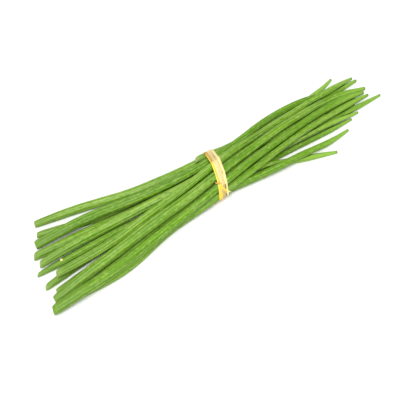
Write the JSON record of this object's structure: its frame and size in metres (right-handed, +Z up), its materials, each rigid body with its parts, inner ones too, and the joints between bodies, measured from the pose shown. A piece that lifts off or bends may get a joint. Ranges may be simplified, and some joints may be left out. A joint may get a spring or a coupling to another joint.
{
  "type": "bunch of moringa pods",
  "caption": "Bunch of long, slender, ribbed green moringa pods, tied round the middle with a flat raffia strip, lying on a surface.",
  "frame": {"origin": "middle of the bounding box's base, on the surface that the bunch lies on", "axes": "+X along the bunch from the cut stem ends to the pointed tips, +Y across it, +Z up"},
  "size_m": [0.5042, 0.1345, 0.0438],
  "materials": {
    "moringa_green": "fresh green pod skin with soft lengthwise ribs and a slight waxy bloom",
    "raffia": "dry straw-coloured palm fibre strip, slightly glossy"
  },
  "bodies": {
    "root": {"pod_01": "moringa_green", "pod_02": "moringa_green", "pod_03": "moringa_green", "pod_04": "moringa_green", "pod_05": "moringa_green", "pod_06": "moringa_green", "pod_07": "moringa_green", "pod_08": "moringa_green", "pod_09": "moringa_green", "pod_10": "moringa_green", "pod_11": "moringa_green", "pod_12": "moringa_green", "pod_13": "moringa_green", "pod_14": "moringa_green", "pod_15": "moringa_green", "pod_16": "moringa_green", "pod_17": "moringa_green", "pod_18": "moringa_green", "raffia_tie": "raffia"}
  },
  "joints": []
}
